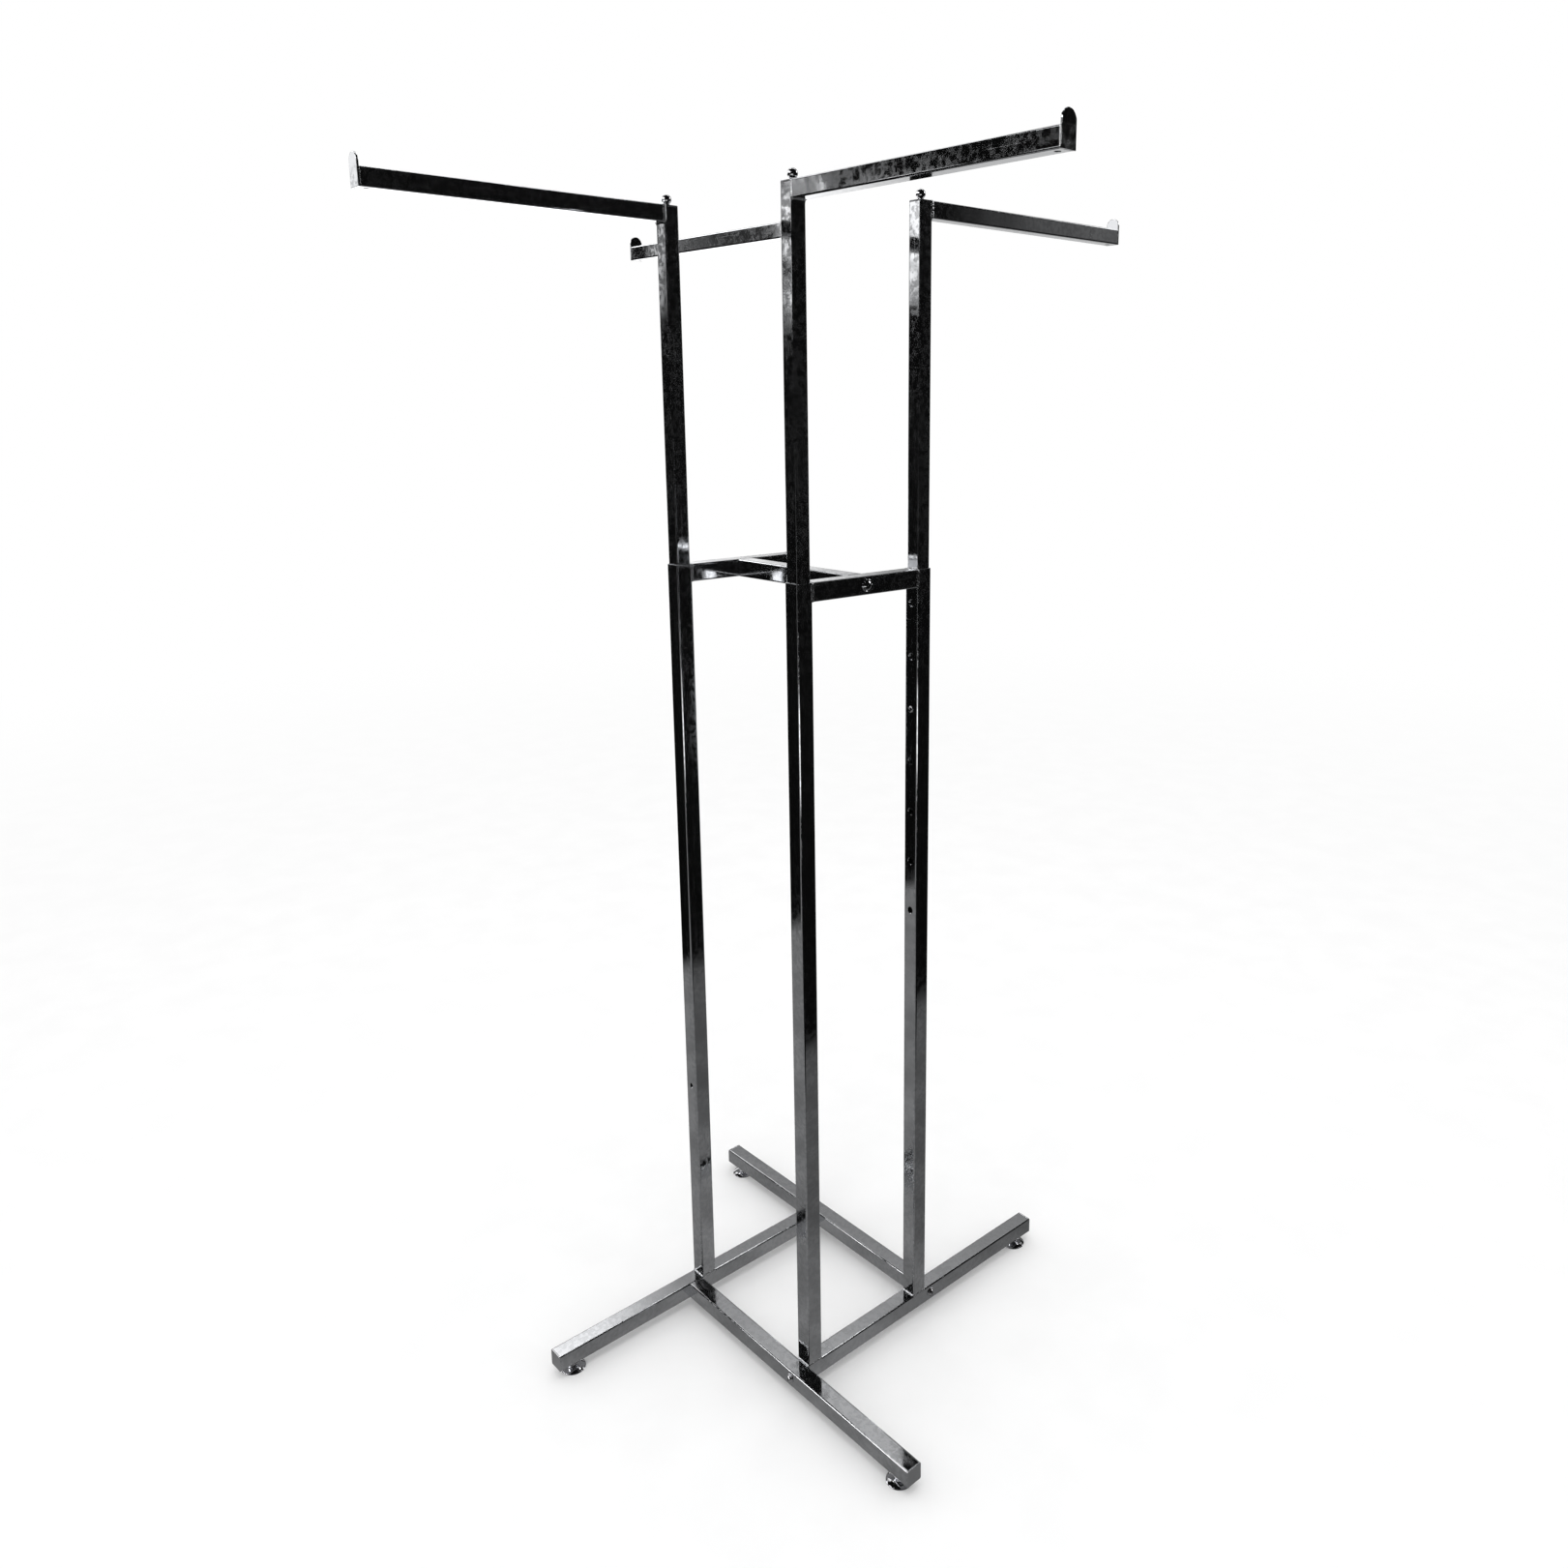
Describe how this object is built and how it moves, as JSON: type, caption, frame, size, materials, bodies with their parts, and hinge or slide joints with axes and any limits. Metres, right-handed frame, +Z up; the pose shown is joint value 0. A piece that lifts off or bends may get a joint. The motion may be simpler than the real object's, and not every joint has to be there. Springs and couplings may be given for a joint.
{
  "type": "four way clothing rack",
  "caption": "Free-standing shop clothing rack: straight square arms point four ways from telescoping uprights over a pinwheel base on levelling feet.",
  "frame": {"origin": "on the floor, under the middle of the base", "axes": "+Z up; arms A, B, C and D point along -Y, +X, +Y and -X; the crossbar runs along X and the two mid rails along Y"},
  "size_m": [1.1006, 1.0498, 1.6924],
  "materials": {
    "chrome_tube": "polished chrome plate on welded square steel tube",
    "chrome_plate": "polished chrome plate on sheet steel",
    "chrome_turned": "bright chrome plate on turned and pressed pieces",
    "zinc_steel": "bright zinc plate",
    "spring_steel": "oiled spring strip"
  },
  "bodies": {
    "root": {"base_tube_a": "chrome_tube", "base_tube_b": "chrome_tube", "base_tube_c": "chrome_tube", "base_tube_d": "chrome_tube", "leg_end_cap_a": "chrome_plate", "leg_end_cap_b": "chrome_plate", "leg_end_cap_c": "chrome_plate", "leg_end_cap_d": "chrome_plate", "base_bolts": "chrome_turned", "base_end_nuts": "zinc_steel", "foot_nuts": "zinc_steel", "post_a": "chrome_tube", "post_b": "chrome_tube", "post_c": "chrome_tube", "post_d": "chrome_tube", "mid_rail_bc": "chrome_tube", "mid_rail_da": "chrome_tube", "crossbar": "chrome_tube", "crossbar_bolts": "chrome_turned", "crossbar_end_nuts": "zinc_steel"},
    "arm_frame_a": {"upright_a": "chrome_tube", "arm_a": "chrome_tube", "arm_end_blade_a": "chrome_plate", "top_cap_a": "chrome_plate", "ball_finial_a": "chrome_turned", "button_spring_a": "spring_steel"},
    "button_a": {"snap_button_a": "chrome_turned"},
    "foot_a": {"foot_pad_a": "chrome_turned"},
    "stem_a": {"foot_stem_a": "zinc_steel"},
    "arm_frame_b": {"upright_b": "chrome_tube", "arm_b": "chrome_tube", "arm_end_blade_b": "chrome_plate", "top_cap_b": "chrome_plate", "ball_finial_b": "chrome_turned", "button_spring_b": "spring_steel"},
    "button_b": {"snap_button_b": "chrome_turned"},
    "foot_b": {"foot_pad_b": "chrome_turned"},
    "stem_b": {"foot_stem_b": "zinc_steel"},
    "arm_frame_c": {"upright_c": "chrome_tube", "arm_c": "chrome_tube", "arm_end_blade_c": "chrome_plate", "top_cap_c": "chrome_plate", "ball_finial_c": "chrome_turned", "button_spring_c": "spring_steel"},
    "button_c": {"snap_button_c": "chrome_turned"},
    "foot_c": {"foot_pad_c": "chrome_turned"},
    "stem_c": {"foot_stem_c": "zinc_steel"},
    "arm_frame_d": {"upright_d": "chrome_tube", "arm_d": "chrome_tube", "arm_end_blade_d": "chrome_plate", "top_cap_d": "chrome_plate", "ball_finial_d": "chrome_turned", "button_spring_d": "spring_steel"},
    "button_d": {"snap_button_d": "chrome_turned"},
    "foot_d": {"foot_pad_d": "chrome_turned"},
    "stem_d": {"foot_stem_d": "zinc_steel"}
  },
  "joints": [
    {"name": "arm_a_height", "type": "slide", "parent": "root", "child": "arm_frame_a", "axis": [0, 0, 1], "range_m": [-0.3048, 0.1524]},
    {"name": "button_a_press", "type": "slide", "parent": "arm_frame_a", "child": "button_a", "axis": [0, -1, 0], "range_m": [0, 0.0036], "stiffness_N_per_m": 1200, "springref_m": -0.004, "deforming": ["button_spring_a"]},
    {"name": "arm_b_height", "type": "slide", "parent": "root", "child": "arm_frame_b", "axis": [0, 0, 1], "range_m": [-0.3048, 0.1524]},
    {"name": "button_b_press", "type": "slide", "parent": "arm_frame_b", "child": "button_b", "axis": [0, -1, 0], "range_m": [0, 0.0036], "stiffness_N_per_m": 1200, "springref_m": -0.004, "deforming": ["button_spring_b"]},
    {"name": "arm_c_height", "type": "slide", "parent": "root", "child": "arm_frame_c", "axis": [0, 0, 1], "range_m": [-0.3048, 0.1524]},
    {"name": "button_c_press", "type": "slide", "parent": "arm_frame_c", "child": "button_c", "axis": [0, 1, 0], "range_m": [0, 0.0036], "stiffness_N_per_m": 1200, "springref_m": -0.004, "deforming": ["button_spring_c"]},
    {"name": "arm_d_height", "type": "slide", "parent": "root", "child": "arm_frame_d", "axis": [0, 0, 1], "range_m": [-0.3048, 0.1524]},
    {"name": "button_d_press", "type": "slide", "parent": "arm_frame_d", "child": "button_d", "axis": [0, 1, 0], "range_m": [0, 0.0036], "stiffness_N_per_m": 1200, "springref_m": -0.004, "deforming": ["button_spring_d"]},
    {"name": "foot_a_height", "type": "slide", "parent": "root", "child": "foot_a", "axis": [0, 0, -1], "range_m": [0, 0.012]},
    {"name": "foot_a_turn", "type": "hinge", "parent": "foot_a", "child": "stem_a", "pos_m": [-0.1333, -0.35, 0], "axis": [0, 0, -1], "range_deg": [0, 3460]},
    {"name": "foot_b_height", "type": "slide", "parent": "root", "child": "foot_b", "axis": [0, 0, -1], "range_m": [0, 0.012]},
    {"name": "foot_b_turn", "type": "hinge", "parent": "foot_b", "child": "stem_b", "pos_m": [0.35, -0.1333, 0], "axis": [0, 0, -1], "range_deg": [0, 3460]},
    {"name": "foot_c_height", "type": "slide", "parent": "root", "child": "foot_c", "axis": [0, 0, -1], "range_m": [0, 0.012]},
    {"name": "foot_c_turn", "type": "hinge", "parent": "foot_c", "child": "stem_c", "pos_m": [0.1333, 0.35, 0], "axis": [0, 0, -1], "range_deg": [0, 3460]},
    {"name": "foot_d_height", "type": "slide", "parent": "root", "child": "foot_d", "axis": [0, 0, -1], "range_m": [0, 0.012]},
    {"name": "foot_d_turn", "type": "hinge", "parent": "foot_d", "child": "stem_d", "pos_m": [-0.35, 0.1333, 0], "axis": [0, 0, -1], "range_deg": [0, 3460]}
  ],
  "couplings": [
    {"joint": "foot_a_turn", "follows": "foot_a_height", "rad_per_m": 5026.5},
    {"joint": "foot_b_turn", "follows": "foot_b_height", "rad_per_m": 5026.5},
    {"joint": "foot_c_turn", "follows": "foot_c_height", "rad_per_m": 5026.5},
    {"joint": "foot_d_turn", "follows": "foot_d_height", "rad_per_m": 5026.5}
  ]
}
